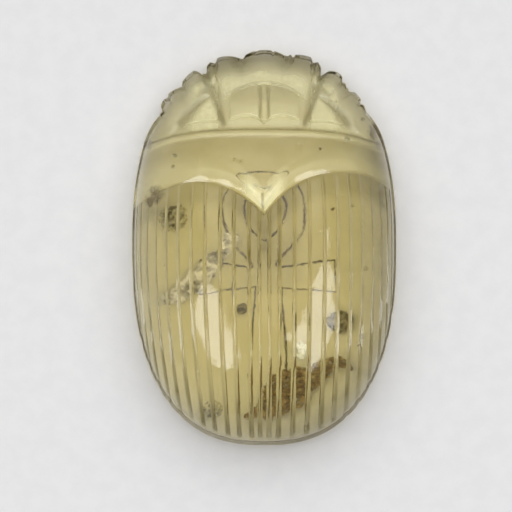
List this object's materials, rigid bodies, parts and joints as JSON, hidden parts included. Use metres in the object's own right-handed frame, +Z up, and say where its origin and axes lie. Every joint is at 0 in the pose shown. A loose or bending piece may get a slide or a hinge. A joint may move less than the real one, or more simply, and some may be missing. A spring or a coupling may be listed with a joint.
{
  "type": "scarab amulet",
  "caption": "Carved scarab beetle amulet of clear yellow glass, domed and ribbed above, flat below with a looped cross cut into the underside.",
  "frame": {"origin": "middle of the flat underside", "axes": "+Y towards the beetle's head, +X to its right-hand side seen from above, +Z up through its back"},
  "size_m": [0.0281, 0.042, 0.0144],
  "materials": {
    "yellow_glass": "clear pale yellow natural glass, softly polished, with sealed-in spherules and brown swirls"
  },
  "bodies": {
    "root": {"scarab": "yellow_glass"}
  },
  "joints": []
}
